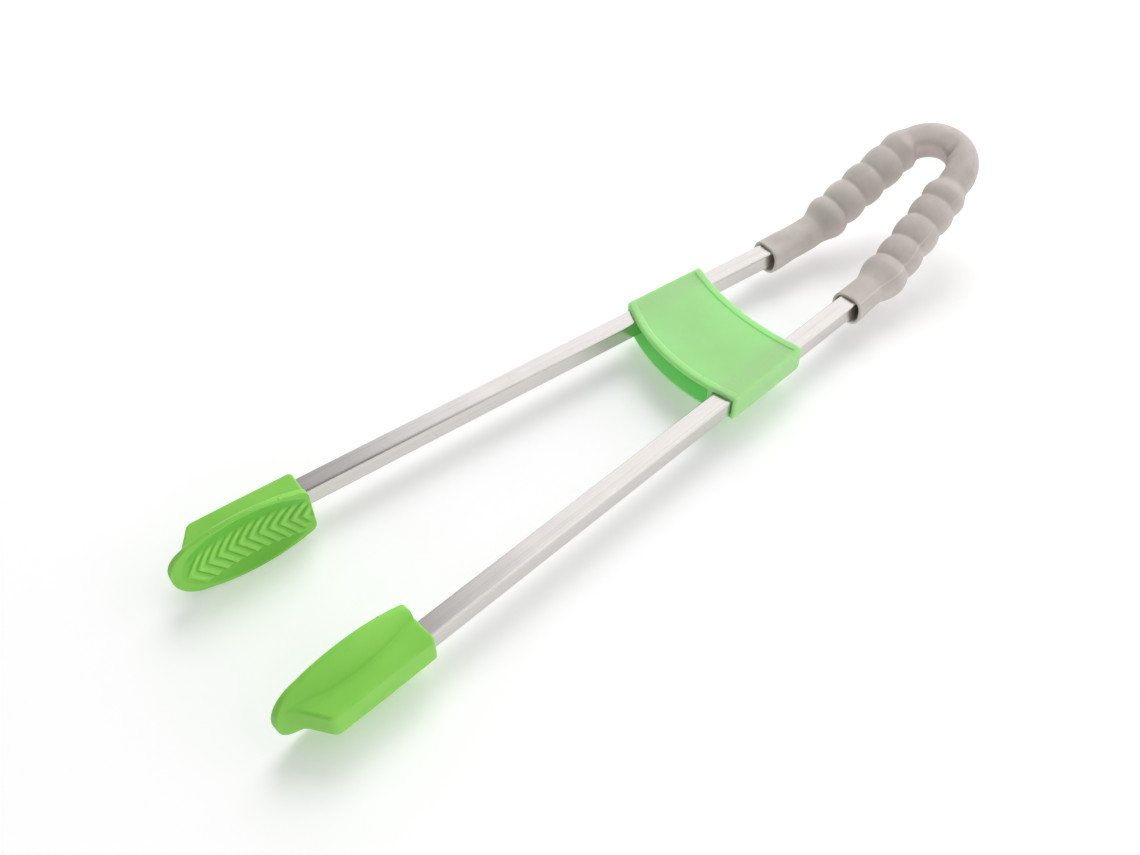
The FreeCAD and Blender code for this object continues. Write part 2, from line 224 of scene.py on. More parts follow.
class Shader:
    """A material's node tree, with short calls for the nodes used here."""

    def __init__(self, name):
        self.material = bpy.data.materials.new(name)
        self.material.use_nodes = True
        self.tree = self.material.node_tree
        self.tree.nodes.clear()
        self.out = self.tree.nodes.new("ShaderNodeOutputMaterial")
        self.surface = self.tree.nodes.new("ShaderNodeBsdfPrincipled")
        self.tree.links.new(self.surface.outputs[0], self.out.inputs[0])
        coordinates = self.tree.nodes.new("ShaderNodeTexCoord")
        self.place = coordinates.outputs["Object"]

    def link(self, value, socket):
        if isinstance(value, bpy.types.NodeSocket):
            self.tree.links.new(value, socket)
        else:
            socket.default_value = value

    def mapped(self, scale=(1, 1, 1), turn=0.0, shift=(0, 0, 0), source=None):
        node = self.tree.nodes.new("ShaderNodeMapping")
        self.tree.links.new(source or self.place, node.inputs["Vector"])
        node.inputs["Location"].default_value = shift
        node.inputs["Rotation"].default_value = (0, 0, turn)
        node.inputs["Scale"].default_value = scale
        return node.outputs[0]

    def noise(self, scale, detail=3.0, vector=None, roughness=0.5):
        node = self.tree.nodes.new("ShaderNodeTexNoise")
        self.tree.links.new(vector or self.place, node.inputs["Vector"])
        node.inputs["Scale"].default_value = scale
        node.inputs["Detail"].default_value = detail
        node.inputs["Roughness"].default_value = roughness
        return node.outputs["Fac"]

    def ramp(self, value, stops):
        node = self.tree.nodes.new("ShaderNodeValToRGB")
        self.tree.links.new(value, node.inputs[0])
        elements = node.color_ramp.elements
        while len(elements) < len(stops):
            elements.new(0.5)
        for element, (position, colour) in zip(elements, stops):
            element.position = position
            element.color = colour if isinstance(colour, tuple) else (colour,) * 3 + (1.0,)
        return node.outputs[0]

    def math(self, kind, a, b=0.0):
        node = self.tree.nodes.new("ShaderNodeMath")
        node.operation = kind
        for value, socket in zip((a, b), node.inputs):
            self.link(value, socket)
        return node.outputs[0]

    def mix(self, share, a, b):
        node = self.tree.nodes.new("ShaderNodeMix")
        node.data_type = "RGBA"
        self.link(share, node.inputs[0])
        self.link(a, node.inputs[6])
        self.link(b, node.inputs[7])
        return node.outputs[2]

    def attribute(self, name):
        node = self.tree.nodes.new("ShaderNodeAttribute")
        node.attribute_name = name
        return node.outputs["Fac"]

    def axes(self, vector):
        node = self.tree.nodes.new("ShaderNodeSeparateXYZ")
        self.tree.links.new(vector, node.inputs[0])
        return node.outputs

    def bump(self, height, strength, distance):
        node = self.tree.nodes.new("ShaderNodeBump")
        node.inputs["Strength"].default_value = strength
        node.inputs["Distance"].default_value = distance
        self.tree.links.new(height, node.inputs["Height"])
        self.tree.links.new(node.outputs[0], self.surface.inputs["Normal"])

    def finish(self, colour, roughness, **sockets):
        self.link(colour, self.surface.inputs["Base Color"])
        self.link(roughness, self.surface.inputs["Roughness"])
        for name, value in sockets.items():
            self.surface.inputs[name.replace("_", " ")].default_value = value
        return self.material


# Faint round marks in the corners of the slider's top, about the arms' meeting point.
MARK_RADIUS = 1.8
MARK_WIDTH = 0.4
MARK_DEPTH = 1.4
SLIDER_MARKS = ((-32.9, -454.8), (-32.5, -425.3), (32.2, -432.5), (30.5, -460.6))


def moulded_green(name, light, deep, roughness, paler_and_painted_light, painted_lighting, marks=(), glow=0.0, depth=0.003):
    """Moulded plastic or silicone: slow colour drift, fine grain, and faint round ejector marks.

    The mesh's own numbers for painted light and painted shade lead to those two colours: painted light
    makes the heads' ribs paler and the slider's hollow a brighter green, and painted shade makes the
    heads' smooth dish a deeper green. Glow is the share of light that scatters inside the material, to
    that depth in metres.
    """
    s = Shader(name)
    drift = s.noise(45, 2.0)
    fine = s.noise(900, 3.0)
    shade = tuple(0.86 * c for c in light[:3]) + (1.0,)
    colour = s.ramp(drift, [(0.32, light), (0.68, deep)])
    colour = s.mix(s.ramp(fine, [(0.3, 0.0), (0.8, 0.10)]), colour, shade)
    # painted light: a paler colour where the mesh's own numbers ask for it
    colour = s.mix(s.attribute("paler_and_painted_light"), colour, paler_and_painted_light)
    # painted light on the slider's hollow and painted shade on the heads' dish, from the mesh's own
    # numbers
    colour = s.mix(s.attribute("painted_lighting"), colour, painted_lighting)
    height = s.math("MULTIPLY", s.noise(2600, 2.0), 0.35)
    height = s.math("ADD", height, s.math("MULTIPLY", s.noise(160, 2.0), 0.65))
    for mark_x, mark_y in marks:
        offset = s.mapped(shift=(-(mark_x + TO_ROW[0]) * MM, -(mark_y + TO_ROW[1]) * MM, 0))
        x, y, _ = s.axes(offset)
        away = s.math("SQRT", s.math("ADD", s.math("MULTIPLY", x, x), s.math("MULTIPLY", y, y)))
        ring = s.math("ABSOLUTE", s.math("SUBTRACT", away, MARK_RADIUS * MM))
        ring = s.math("SUBTRACT", 1.0, s.math("MINIMUM", s.math("DIVIDE", ring, MARK_WIDTH * MM), 1.0))
        height = s.math("SUBTRACT", height, s.math("MULTIPLY", ring, MARK_DEPTH))
    s.bump(height, 0.35, 0.00012)
    rough = s.ramp(s.noise(120, 3.0), [(0.3, roughness - 0.05), (0.7, roughness + 0.07)])
    s.surface.inputs["Subsurface Radius"].default_value = (0.5, 1.0, 0.4)
    return s.finish(colour, rough, Subsurface_Weight=glow, Subsurface_Scale=depth)


def brushed_aluminium(name, side):
    """Drawn aluminium tube: fine lines along the arm, soft bands and a few scratches."""
    s = Shader(name)
    turn = math.pi / 2 - HALF_ANGLE
    along = s.mapped(turn=turn if side == "right" else math.pi - turn)
    lines = s.noise(1.0, 4.0, s.mapped(scale=(9, 2600, 2600), source=along), 0.65)
    bands = s.noise(1.0, 2.0, s.mapped(scale=(5, 420, 420), source=along), 0.5)
    patches = s.noise(60, 3.0)
    scratches = s.noise(1.0, 1.0, s.mapped(scale=(140, 3400, 3400), source=along), 0.4)
    tone = s.ramp(bands, [(0.3, srgb(211, 207, 204)), (0.5, srgb(220, 215, 212)),
                          (0.72, srgb(213, 209, 206))])
    tone = s.mix(s.ramp(lines, [(0.35, 0.0), (0.75, 0.16)]), tone, srgb(190, 187, 185))
    tone = s.mix(s.ramp(scratches, [(0.70, 0.0), (0.76, 0.45)]), tone, srgb(236, 234, 232))
    rough = s.ramp(patches, [(0.3, 0.20), (0.7, 0.28)])
    height = s.math("ADD", s.math("MULTIPLY", lines, 0.7), s.math("MULTIPLY", scratches, 0.3))
    s.bump(height, 0.15, 0.00004)
    return s.finish(tone, rough, Metallic=1.0)


def soft_grey(name):
    """Matte rubbery sleeve: warm grey with cooler cloudy patches, dust specks and small nicks; paler
    along the moulding lines, with a painted highlight on the mouths' rims.
    """
    s = Shader(name)
    clouds = s.noise(75, 4.0, roughness=0.6)
    cool = s.noise(28, 2.0)
    colour = s.ramp(clouds, [(0.30, srgb(191, 182, 176)), (0.50, srgb(203, 192, 188)),
                             (0.70, srgb(211, 200, 196))])
    colour = s.mix(s.ramp(cool, [(0.42, 0.0), (0.66, 0.6)]), colour, srgb(196, 193, 185))
    specks = s.noise(900, 1.0)
    colour = s.mix(s.ramp(specks, [(0.74, 0.0), (0.80, 0.30)]), colour, srgb(226, 220, 215))
    # paler along the moulding lines, and a painted highlight on the rims of the mouths
    colour = s.mix(s.attribute("paler_and_painted_light"), colour, srgb(236, 228, 221))
    height = s.math("ADD", s.math("MULTIPLY", s.noise(1500, 3.0), 0.35), s.math("MULTIPLY", clouds, 0.65))
    s.bump(height, 0.30, 0.00030)
    rough = s.ramp(s.noise(210, 2.0), [(0.3, 0.62), (0.7, 0.74)])
    return s.finish(colour, rough)


def spring_steel(name):
    s = Shader(name)
    grain = s.noise(1.0, 4.0, s.mapped(scale=(300, 2400, 2400)))
    stain = s.noise(150, 3.0)
    colour = s.ramp(grain, [(0.3, srgb(150, 150, 152)), (0.7, srgb(196, 196, 198))])
    colour = s.mix(s.ramp(stain, [(0.5, 0.0), (0.8, 0.35)]), colour, srgb(128, 120, 112))
    s.bump(grain, 0.25, 0.00004)
    return s.finish(colour, s.ramp(stain, [(0.3, 0.28), (0.7, 0.42)]), Metallic=1.0)


# ---------------------------------------------------------------- heads
# The third number of both() and either() is the radius of the edge or fillet.
LEAF_REAR_HEIGHT = 11.4      # the leaf's half height at its rear edge and at its middle
LEAF_HALF_HEIGHT = 17.0
TIP_BLEND = (688.0, 14.0)    # where the long side arc runs into the tip's arc
SPOON_DEPTH = 4.5
FACE_RADII = (89.0, 28.5)    # along and across the arm
BACK_DEPTH = 9.8             # from the rim to the back of the leaf
BACK_RADII = (93.0, 21.5)
SOCKET_OUTER = 7.4
SOCKET_INNER = 5.4
SOCKET_HALF_HEIGHT = 6.3
SOCKET_FRONT_OUTER = (686.0, 6.2)     # the socket's slanting front runs between these two points
SOCKET_FRONT_INNER = (692.4, -4.0)
BORE_PLAY = 0.12
RIB_PITCH = 4.44
RIB_TIP = 694.6
RIB_AXIS = -2.6
RIB_SLOPE = 0.74
RIB_HEIGHT = 1.0
RIB_CREST = 0.24             # share of the pitch, from each rib's steep side facing the tip
RIB_LOW_ENDS = (-11.3, -10.5)
RIB_HIGH_ENDS = (3.5, 7.6)
FLASH_PLACES = (651.5, 680.5)
FLASH_RADIUS = 0.62


def arc_through(a, b, c):
    """Centre and radius of the circle through three points."""
    rows = np.array([[b[0] - a[0], b[1] - a[1]], [c[0] - a[0], c[1] - a[1]]], float)
    right = np.array([b[0] ** 2 - a[0] ** 2 + b[1] ** 2 - a[1] ** 2,
                      c[0] ** 2 - a[0] ** 2 + c[1] ** 2 - a[1] ** 2]) / 2
    centre = np.linalg.solve(rows, right)
    return centre, math.hypot(a[0] - centre[0], a[1] - centre[1])


LONG_ARC = arc_through((HEAD_REAR, LEAF_REAR_HEIGHT), (LEAF_MIDDLE, LEAF_HALF_HEIGHT), TIP_BLEND)
TIP_ARC = arc_through(TIP_BLEND, (LEAF_TIP, 0.0), (TIP_BLEND[0], -TIP_BLEND[1]))


def leaf_edge(along, up):
    """Distance outside the leaf's outline."""
    height = np.abs(up + LEAF_DROP)
    (centre_x, centre_z), radius = LONG_ARC
    side = np.hypot(along - centre_x, height - centre_z) - radius
    (tip_x, _), tip_radius = TIP_ARC
    tip = np.hypot(along - tip_x, height) - tip_radius
    share = smoothstep(TIP_BLEND[0] - 4.0, TIP_BLEND[0] + 4.0, along)
    return both(side * (1 - share) + tip * share, HEAD_REAR - along, 2.5)


def leaf_top(along):
    """Height of the leaf's upper edge above the arm's centreline."""
    (centre_x, centre_z), radius = LONG_ARC
    return centre_z + math.sqrt(radius ** 2 - (along - centre_x) ** 2) - LEAF_DROP


def chevron_ribs(along, up):
    """Height of the V-shaped gripping ribs over the spoon's face, and how much of a rib there is."""
    off_axis = up - RIB_AXIS
    bent = np.sqrt(off_axis ** 2 + 0.35 ** 2)
    phase = (RIB_TIP - along - RIB_SLOPE * bent) / RIB_PITCH
    share = phase - np.floor(phase)
    rise = np.where(share < RIB_CREST, share / RIB_CREST, (1 - share) / (1 - RIB_CREST))
    profile = 1 - (1 - rise) ** 1.7
    window = smoothstep(*RIB_LOW_ENDS, up - 0.5 * np.sin(math.pi * share))
    window = window * (1 - smoothstep(*RIB_HIGH_ENDS, up)) * smoothstep(-0.02, 0.12, phase)
    return RIB_HEIGHT * profile * window, window * np.clip(rise * 1.6, 0.25, 1)


def spoon_face(along, out, up):
    return torus(along, out, up, -(LEAF_RIM - SPOON_DEPTH + FACE_RADII[0]), *FACE_RADII)


def head_field(along, out, up):
    """Distance outside the head: leaf and socket, with the arm's bore."""
    edge = leaf_edge(along, up)
    back = torus(along, out, up, -(LEAF_RIM - BACK_DEPTH + BACK_RADII[0]), *BACK_RADII)
    leaf = both(edge, back, 0.5)
    leaf = both(leaf, -out - LEAF_RIM, 0.35)

    (outer_along, outer_out), (inner_along, inner_out) = SOCKET_FRONT_OUTER, SOCKET_FRONT_INNER
    slant_along, slant_out = outer_out - inner_out, inner_along - outer_along
    front = (along - outer_along) * slant_along + (out - outer_out) * slant_out
    plan = both(out - SOCKET_OUTER, front / math.hypot(slant_along, slant_out), 1.7)
    plan = both(plan, -out - SOCKET_INNER, 0.4)
    plan = both(plan, HEAD_REAR - along, 0.6 + 1.4 * smoothstep(2.0, 6.0, out))
    socket = both(plan, np.abs(up) - SOCKET_HALF_HEIGHT, 1.1 + 0.5 * smoothstep(665.0, 690.0, along))

    fillet = 0.5 + 2.0 * smoothstep(680.0, 690.0, along)
    solid = either(leaf, socket, fillet)
    solid = both(solid, -(spoon_face(along, out, up) + chevron_ribs(along, up)[0]), 0.35)
    width = np.abs(out) - (ARM_HALF_WIDTH + BORE_PLAY)
    height = np.abs(up) - (ARM_HALF_HEIGHT + BORE_PLAY)
    bore = both(both(width, height, ARM_CORNER), along - (ARM_TIP + 0.2))
    solid = both(solid, -bore, 0.3)
    # small tags of flash on the rim's upper edge
    for place in FLASH_PLACES:
        middle = (2.0 * (along - place)) ** 2 + (out + LEAF_RIM - 0.6) ** 2
        middle = middle + (up - leaf_top(place) + 0.3) ** 2
        solid = either(solid, np.sqrt(middle) - FLASH_RADIUS, 0.3)
    return solid


def head_shape(step):
    ranges = [(HEAD_REAR - 1, LEAF_TIP + 1), (-LEAF_RIM - 1, 8.4), (-18.2, 16.8)]
    lines = [np.arange(low, high, step) for low, high in ranges]
    along, out, up = np.meshgrid(*lines, indexing="ij")
    vertices, quads = wrap(np.stack([along, out, up], -1), head_field(along, out, up))
    vertices, normals = settle(vertices, head_field)
    return vertices, quads, normals


def build_heads(material):
    vertices, quads, normals = head_shape(0.3)
    ribs, ribbed = chevron_ribs(vertices[:, 0], vertices[:, 2])
    # Painted light and painted shade on the heads: the ribs are made paler, and the smooth dish a deeper
    # green, most of all under the upper rim.
    on_face = 1 - smoothstep(0.12, 0.4, np.abs(spoon_face(*vertices.T) + ribs))
    painted_shade_under_rim = smoothstep(4.0, 7.0, vertices[:, 2])
    for side in ("right", "left"):
        faces = quads if side == "right" else quads[:, ::-1]
        obj = add_object("silicone_head_" + side, from_arm(vertices, side), faces, material,
                         from_arm(normals, side))
        # painted light on the ribs
        set_attribute(obj, "paler_and_painted_light", on_face * ribbed)
        # painted shade in the smooth dish, strongest under the upper rim
        set_attribute(obj, "painted_lighting", on_face * (1 - ribbed) * (0.45 + 0.55 * painted_shade_under_rim))
        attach(obj, side + "_arm")
        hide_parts("head_" + side)


# ---------------------------------------------------------------- slider
SLIDER_LEFT = 7.8            # how far the walls stand outside each arm's centreline
SLIDER_RIGHT = 6.7
SLIDER_WALL = 1.6
SLIDER_PLATE = 1.4
END_OFFSET = 9.0             # the curved ends' centres lie this far to the right
FRONT_END, FRONT_RADIUS = 474.3, 98.0
REAR_END, REAR_RADIUS = 425.0, 122.0
RIM_TOP = 7.0
RIM_ROOT = 5.4
RIM_INSET = 2.0              # the rims stop this far short of the side walls
FRONT_RIM_WIDTH = 3.7
REAR_RIM_WIDTH = 3.9
CHANNEL_RIB = (-7.4, -5.0)   # the rib that makes the right arm's channel, from that arm's centreline


def slider_ends(x, y):
    """Distances in front of the slider's front edge and behind its rear edge."""
    front = np.hypot(x - END_OFFSET, y + FRONT_END - FRONT_RADIUS) - FRONT_RADIUS
    rear = REAR_RADIUS - np.hypot(x - END_OFFSET, y + REAR_END - REAR_RADIUS)
    return front, rear


def slider_field(x, y, z):
    """Distance outside the slider, in the plane of the arms."""
    right = x * COS + y * SIN
    left = -x * COS + y * SIN
    front, rear = slider_ends(x, y)
    top, bottom = z - SLIDER_HALF_HEIGHT, -z - SLIDER_HALF_HEIGHT
    lower_round = 0.7 + 1.3 * smoothstep(3.0, 6.0, right)
    body = both(both(left - SLIDER_LEFT, right - SLIDER_RIGHT), top, 1.5)
    body = both(body, bottom, 0.9)
    body = both(body, front, 1.3)
    body = both(body, both(rear, bottom, lower_round), 1.2)
    across = both(left - SLIDER_LEFT + RIM_INSET, right - SLIDER_RIGHT + RIM_INSET)
    rim = z - RIM_TOP
    front_rim = both(both(front, rim, 1.5), both(-front - FRONT_RIM_WIDTH, rim, 0.45))
    front_rim = both(both(front_rim, across, 0.6), RIM_ROOT - z)
    rear_rim = both(both(rear, rim, 1.1), both(-rear - REAR_RIM_WIDTH, rim, 0.45))
    rear_rim = both(both(rear_rim, across, 0.6), RIM_ROOT - z)
    body = either(either(body, front_rim, 0.3), rear_rim, 0.45)
    return both(body, -slider_hollow(right, left, z), 0.3)


def slider_hollow(right, left, z):
    """Distance outside the slider's hollow."""
    hollow = both(left - SLIDER_LEFT + SLIDER_WALL, right - SLIDER_RIGHT + SLIDER_WALL)
    hollow = both(hollow, np.abs(z) - SLIDER_HALF_HEIGHT + SLIDER_PLATE, 0.4)
    rib = both(right - CHANNEL_RIB[1], CHANNEL_RIB[0] - right)
    return both(hollow, -rib, 0.4)


def slider_lines(fine_start, fine_end, start, end, fine, coarse):
    """Distances from 0 to 1 with fine steps at both ends."""
    length = end - start
    first = np.arange(-0.8, fine_start, fine)
    last = length - np.arange(-0.8, fine_end, fine)[::-1]
    middle = np.linspace(first[-1], last[0], int((last[0] - first[-1]) / coarse) + 2)[1:-1]
    return np.concatenate([first, middle, last]) / length


def build_slider(material):
    across = slider_lines(3.2, 15.5, 0.0, 78.0, 0.35, 1.3)
    along = slider_lines(4.6, 5.0, 0.0, 49.0, 0.35, 1.3)
    heights = np.concatenate([
        np.arange(-7.2, -4.2, 0.25), np.linspace(-4.2, 4.2, 9), np.arange(4.45, 7.6, 0.25)])
    share_x, share_y, z = np.meshgrid(across, along, heights, indexing="ij")
    # the grid follows the side walls and the two curved ends
    radius = FRONT_RADIUS + (REAR_RADIUS - FRONT_RADIUS) * share_y
    furthest = FRONT_END + (REAR_END - FRONT_END) * share_y
    y = np.full_like(share_x, -(FRONT_END + REAR_END) / 2)
    for _ in range(8):
        left = -(SLIDER_LEFT - y * SIN) / COS
        right = (SLIDER_RIGHT - y * SIN) / COS
        x = left + (right - left) * share_x
        y = radius - furthest - np.sqrt(radius ** 2 - (x - END_OFFSET) ** 2)
    vertices, quads = wrap(np.stack([x, y, z], -1), slider_field(x, y, z))
    vertices, normals = settle(vertices, slider_field)
    obj = add_object("locking_slider", vertices, quads, material, normals)
    x, y, z = vertices.T
    inside = slider_hollow(x * COS + y * SIN, -x * COS + y * SIN, z)
    # painted light: the walls of the hollow get a brighter green
    set_attribute(obj, "painted_lighting", 1 - smoothstep(0.1, 0.5, inside))
    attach(obj, "slider")
    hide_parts("slider")


# ---------------------------------------------------------------- grip sleeve
def on_right(vector):
    """A vector (along, out, up) of the right arm, as a vector about the meeting point."""
    return from_arm(np.array([vector], float), "right")[0]


LEG = on_right((-math.cos(TURN), -math.sin(TURN) * math.sin(LEAN), math.sin(TURN) * math.cos(LEAN)))
CORNER = on_right((FOLD, 0, 0))
SPLAY = math.asin(-LEG[0])
SLOPE = np.array([0.0, LEG[1], LEG[2]]) / math.hypot(LEG[1], LEG[2])
SLOPE_NORMAL = np.cross(X_AXIS, SLOPE)
LEG_LENGTH = CORNER[0] / -LEG[0] - BEND_RADIUS / math.tan(SPLAY)
BEND_CENTRE = CORNER + LEG * (CORNER[0] / -LEG[0]) - SLOPE * (BEND_RADIUS / math.sin(SPLAY))
FOLD_TANGENT = FOLD_RADIUS * math.tan(TURN / 2)
FOLD_LENGTH = FOLD_RADIUS * TURN
BEND_HALF_LENGTH = BEND_RADIUS * (math.pi / 2 - SPLAY)
MOUTH_RIGHT = -31.0       # sleeve's ends, measured from the fold's corner towards the bend
MOUTH_LEFT = -32.0


def right_line(distance):
    """Point of the handle's right centreline at a distance from the fold's corner."""
    start = -FOLD_TANGENT
    if distance < start:
        return on_right((FOLD - distance, 0, 0))
    turned = (distance - start) / FOLD_RADIUS
    if turned < TURN:
        rise = np.array([0, -math.sin(LEAN), math.cos(LEAN)])
        back = np.array([-1.0, 0, 0])
        point = np.array([FOLD + FOLD_TANGENT, 0, 0]) + FOLD_RADIUS * (
            rise * (1 - math.cos(turned)) + back * math.sin(turned))
        return on_right(point)
    on_leg = distance - (FOLD_LENGTH - 2 * FOLD_TANGENT)
    if on_leg < LEG_LENGTH:
        return CORNER + LEG * on_leg
    angle = SPLAY + (on_leg - LEG_LENGTH) / BEND_RADIUS
    outwards = X_AXIS * math.cos(angle) + SLOPE * math.sin(angle)
    return BEND_CENTRE + outwards * BEND_RADIUS


HALF_LENGTH = LEG_LENGTH + (FOLD_LENGTH - 2 * FOLD_TANGENT) + BEND_HALF_LENGTH
# Start, end and radius of each bulge, measured along its leg from the fold's corner.
BULGES = {
    "right": [(-14.0, 6.7, 11.5), (6.7, 20.5, 11.0), (20.5, 34.0, 11.0),
              (34.0, 46.4, 10.9), (46.4, 59.5, 10.7)],
    "left": [(1.2, 17.3, 11.4), (17.3, 30.6, 11.0), (30.6, 43.6, 10.9),
             (43.6, 57.1, 10.7), (57.1, 71.0, 10.2)],
}
SLEEVE_RADIUS = 8.15
VALLEY_RADIUS = 9.0
BULGE_FULLNESS = 0.6         # power of the sine that shapes a bulge: the lower, the fuller
FIRST_CREST = 0.66           # where the first and last bulges are widest, as a share of their length
LAST_CREST = 0.45
LOOSE_SHIFT = (0.1, 0, -0.75)      # how the loose mouths hang on the arms
# Angles round the sleeve run from its top towards the other leg.
MOULDING_LINES = (-0.86, 2.28)
MOULDING_HEIGHTS = (0.24, 0.14)
MOULDING_HALF_WIDTH = 0.28
MOULDING_PALENESS = 0.55
BEND_FLATTENING = 0.19       # of the bend's inner wall
MOUTH_FLATTENING = 0.15      # of the mouths' upper side
CREASE_ANGLE, CREASE_SPAN = 1.05, 0.85
LIP_WALL = 1.5
# how much the mouths' rims are lightened, a painted highlight
RIM_PAINTED_HIGHLIGHT = 0.45


def quarter_wave(share):
    """Rise of a full, round bulge, from 0 to 1 as the share goes from 0 to 1."""
    return math.sin(math.pi / 2 * share) ** BULGE_FULLNESS


def sleeve_radius(distance, side):
    """Outer radius of the sleeve at a distance from the fold's corner."""
    bulges = BULGES[side]
    radius = SLEEVE_RADIUS
    for number, (start, end, peak) in enumerate(bulges):
        if start <= distance < end:
            share = (distance - start) / (end - start)
            low_start = SLEEVE_RADIUS if number == 0 else VALLEY_RADIUS
            low_end = SLEEVE_RADIUS if number == len(bulges) - 1 else VALLEY_RADIUS
            base = low_start + (low_end - low_start) * smoothstep(0, 1, share)
            if number == 0 and share < FIRST_CREST:
                swell = smoothstep(0, 1, share / FIRST_CREST)
            elif number == 0:
                swell = quarter_wave((1 - share) / (1 - FIRST_CREST))
            elif number == len(bulges) - 1 and share < LAST_CREST:
                swell = quarter_wave(share / LAST_CREST)
            elif number == len(bulges) - 1:
                swell = smoothstep(0, 1, (1 - share) / (1 - LAST_CREST))
            else:
                swell = quarter_wave(2 * share)
            radius = base + (peak - base) * swell
    return float(radius)


def sleeve_rings(count):
    """Leg and distance from its fold of each ring, from the left mouth to the right one."""
    left_length, right_length = HALF_LENGTH - MOUTH_LEFT, HALF_LENGTH - MOUTH_RIGHT
    total = left_length + right_length
    rings = []
    for number in range(count + 1):
        travelled = total * number / count
        if travelled < left_length:
            rings.append(("left", MOUTH_LEFT + travelled))
        else:
            rings.append(("right", HALF_LENGTH - (travelled - left_length)))
    return rings, total / count


def per_ring(rings, low, high, value=lambda distance: distance):
    """A smooth step along each leg, as one column with a row for each ring."""
    return np.array([smoothstep(low, high, value(distance)) for _, distance in rings])[:, None]


def evened(values, reach, sigma):
    """Values along the sleeve, evened out by a bell that many rings wide."""
    bell = np.exp(-0.5 * (np.arange(-reach, reach + 1) / sigma) ** 2)
    return np.convolve(np.pad(values, reach, mode="edge"), bell / bell.sum(), "valid")


def sleeve_line(rings):
    """Centre, direction, upward and inward vectors of each ring."""
    centres = []
    for side, distance in rings:
        point = right_line(distance)
        if side == "left":
            point = point * (-1, 1, 1)
        loose = 1 - smoothstep(-31.0, -8.0, distance)
        centres.append(point + np.array(LOOSE_SHIFT) * loose)
    centres = np.array(centres)
    # the thick sleeve turns more gently at the fold than the tube inside it
    at_fold = 1 - per_ring(rings, 14.0, 26.0, abs)
    eased = np.stack([evened(centres[:, axis], 30, 11.0) for axis in range(3)], 1)
    centres = centres * (1 - at_fold) + eased * at_fold
    ways = np.gradient(centres, axis=0)
    ways = ways / np.linalg.norm(ways, axis=1)[:, None]
    ups = np.zeros_like(centres)
    middle = int(np.argmin(np.abs(centres[:, 0])))
    ups[middle] = SLOPE_NORMAL
    for order in (range(middle + 1, len(centres)), range(middle - 1, -1, -1)):
        previous = SLOPE_NORMAL
        for i in order:
            up = previous - ways[i] * previous.dot(ways[i])
            previous = ups[i] = up / np.linalg.norm(up)
    return centres, ways, ups, np.cross(ways, ups)


def sleeve_angles(around):
    """Evenly spread angles round a ring, with closer ones at the moulding lines."""
    lines = [angle + offset for angle in MOULDING_LINES for offset in (-0.07, -0.035, 0.0, 0.035, 0.07)]
    even = np.linspace(-math.pi, math.pi, around, endpoint=False)
    even = [angle for angle in even if min(abs(angle - line) for line in lines) > 0.03]
    return np.sort(np.concatenate([even, lines]))[None, :]


def sleeve_reach(rings, theta):
    """Distance of the outer surface from the centreline, and its paleness, round each ring."""
    radii = np.array([sleeve_radius(distance, side) for side, distance in rings])
    radii = evened(radii, 4, 0.8)[:, None]
    near_bend = per_ring(rings, LEG_LENGTH - 6, LEG_LENGTH + 10)
    to_mouth = 1 - per_ring(rings, -31.0, -14.0)
    from_middle = np.array([
        (1 if side == "right" else -1) * (HALF_LENGTH - distance) for side, distance in rings])[:, None]
    inner = np.clip(np.sin(theta), 0, 1)
    power = 2 + 2.6 * near_bend * inner ** 0.5 + 0.7 * to_mouth
    squareness = (np.abs(np.cos(theta)) ** power + np.abs(np.sin(theta)) ** power) ** (-1 / power)
    reach = radii * squareness * (1 - BEND_FLATTENING * near_bend * inner ** 2)
    # moulding line along the outer side of each grip, and its faint twin on the inner side
    paler_and_painted_light = np.zeros_like(reach)
    fading = 1 - per_ring(rings, 18.0, 44.0)
    for line, height in zip(MOULDING_LINES, MOULDING_HEIGHTS):
        away = np.angle(np.exp(1j * (theta - line)))
        ridge = np.exp(-(away * radii / MOULDING_HALF_WIDTH) ** 2)
        reach = reach + height * ridge
        paler_and_painted_light = np.maximum(paler_and_painted_light, MOULDING_PALENESS * ridge * fading)
    # the soft mouths lie flat on top of the arms
    reach = reach * (1 - MOUTH_FLATTENING * to_mouth * np.clip(np.cos(theta), 0, 1) ** 2)
    # where the sleeve buckles on the inside of the bend, beside the right leg
    span = np.exp(-((theta - CREASE_ANGLE) / CREASE_SPAN) ** 4)
    away = from_middle - 13.5 - 6.5 * (theta - 0.9)
    for depth, place, width in ((-1.6, 0.0, 1.8), (0.8, 3.4, 1.8), (0.3, -3.4, 1.8)):
        reach = reach + span * depth * np.exp(-((away - place) / width) ** 2)
    # slight unevenness of a hand-fitted sleeve
    reach = reach + 0.07 * np.sin(3 * theta + from_middle * 0.13)
    reach = reach + 0.05 * np.sin(2 * theta - from_middle * 0.31)
    return reach, paler_and_painted_light


def sleeve_lip(centres, ways, outer, spacing, mouth, inwards):
    """Rings that turn the sleeve's end in over its wall and some way inside."""
    made = []
    centre = centres[mouth]
    size = np.linalg.norm(outer[mouth] - centre, axis=1)[:, None]
    direction = (outer[mouth] - centre) / size
    for share in (0.15, 0.5, 0.85):
        bulge = 0.22 * math.sin(math.pi * share)
        made.append(centre + direction * (size - LIP_WALL * share) - ways[mouth] * inwards * bulge)
    for into in (0.4, 2.0, 6.0, 16.0):
        other = mouth + int(round(into / spacing)) * inwards
        shape = outer[other] - centres[other]
        shape = shape / np.linalg.norm(shape, axis=1)[:, None]
        made.append(centres[other] + shape * (size - LIP_WALL))
    return made


